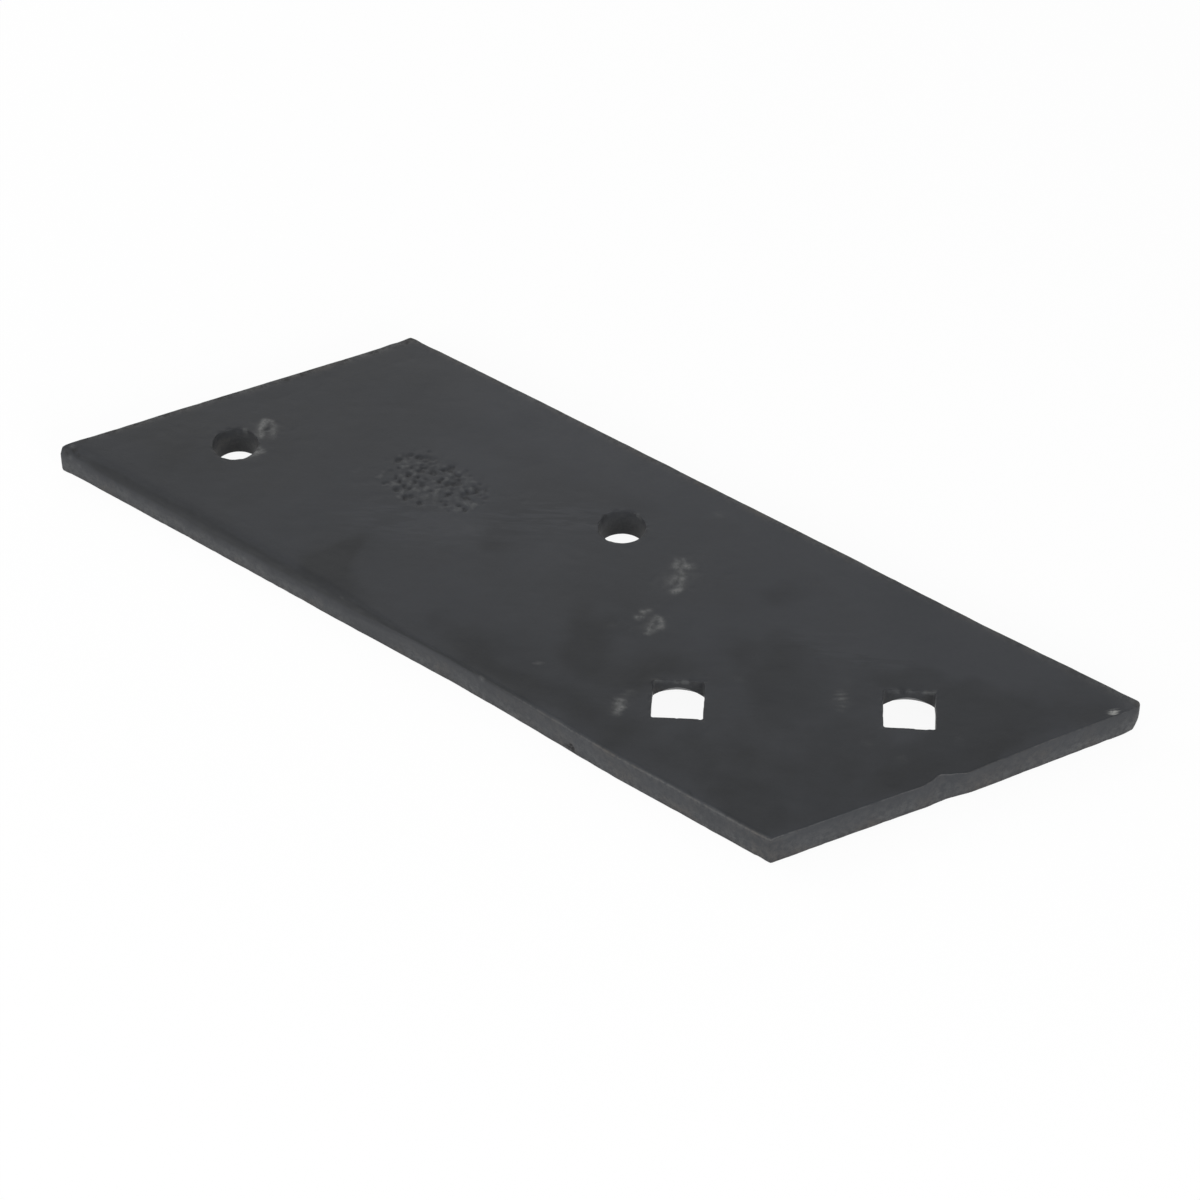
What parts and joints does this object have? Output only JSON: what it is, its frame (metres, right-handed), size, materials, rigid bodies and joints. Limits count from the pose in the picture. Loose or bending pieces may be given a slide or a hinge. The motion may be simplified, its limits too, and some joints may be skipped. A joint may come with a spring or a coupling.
{
  "type": "plough landside",
  "caption": "Flat steel plough landside, a parallelogram plate with sheared ends, round bolt holes and square-neck plough-bolt holes sunk in its soil face.",
  "frame": {"origin": "middle of the soil face, which the plate lies on", "axes": "+X along the long edges towards the stepped front end, +Z out of the frog face, +Y across the plate away from the rolled long edge"},
  "size_m": [0.3704, 0.124, 0.011],
  "materials": {
    "blackened_steel": "satin black dip over rolled steel with its mill skin, rubbed lighter at arrises and marks"
  },
  "bodies": {
    "root": {"landside_plate": "blackened_steel"}
  },
  "joints": []
}
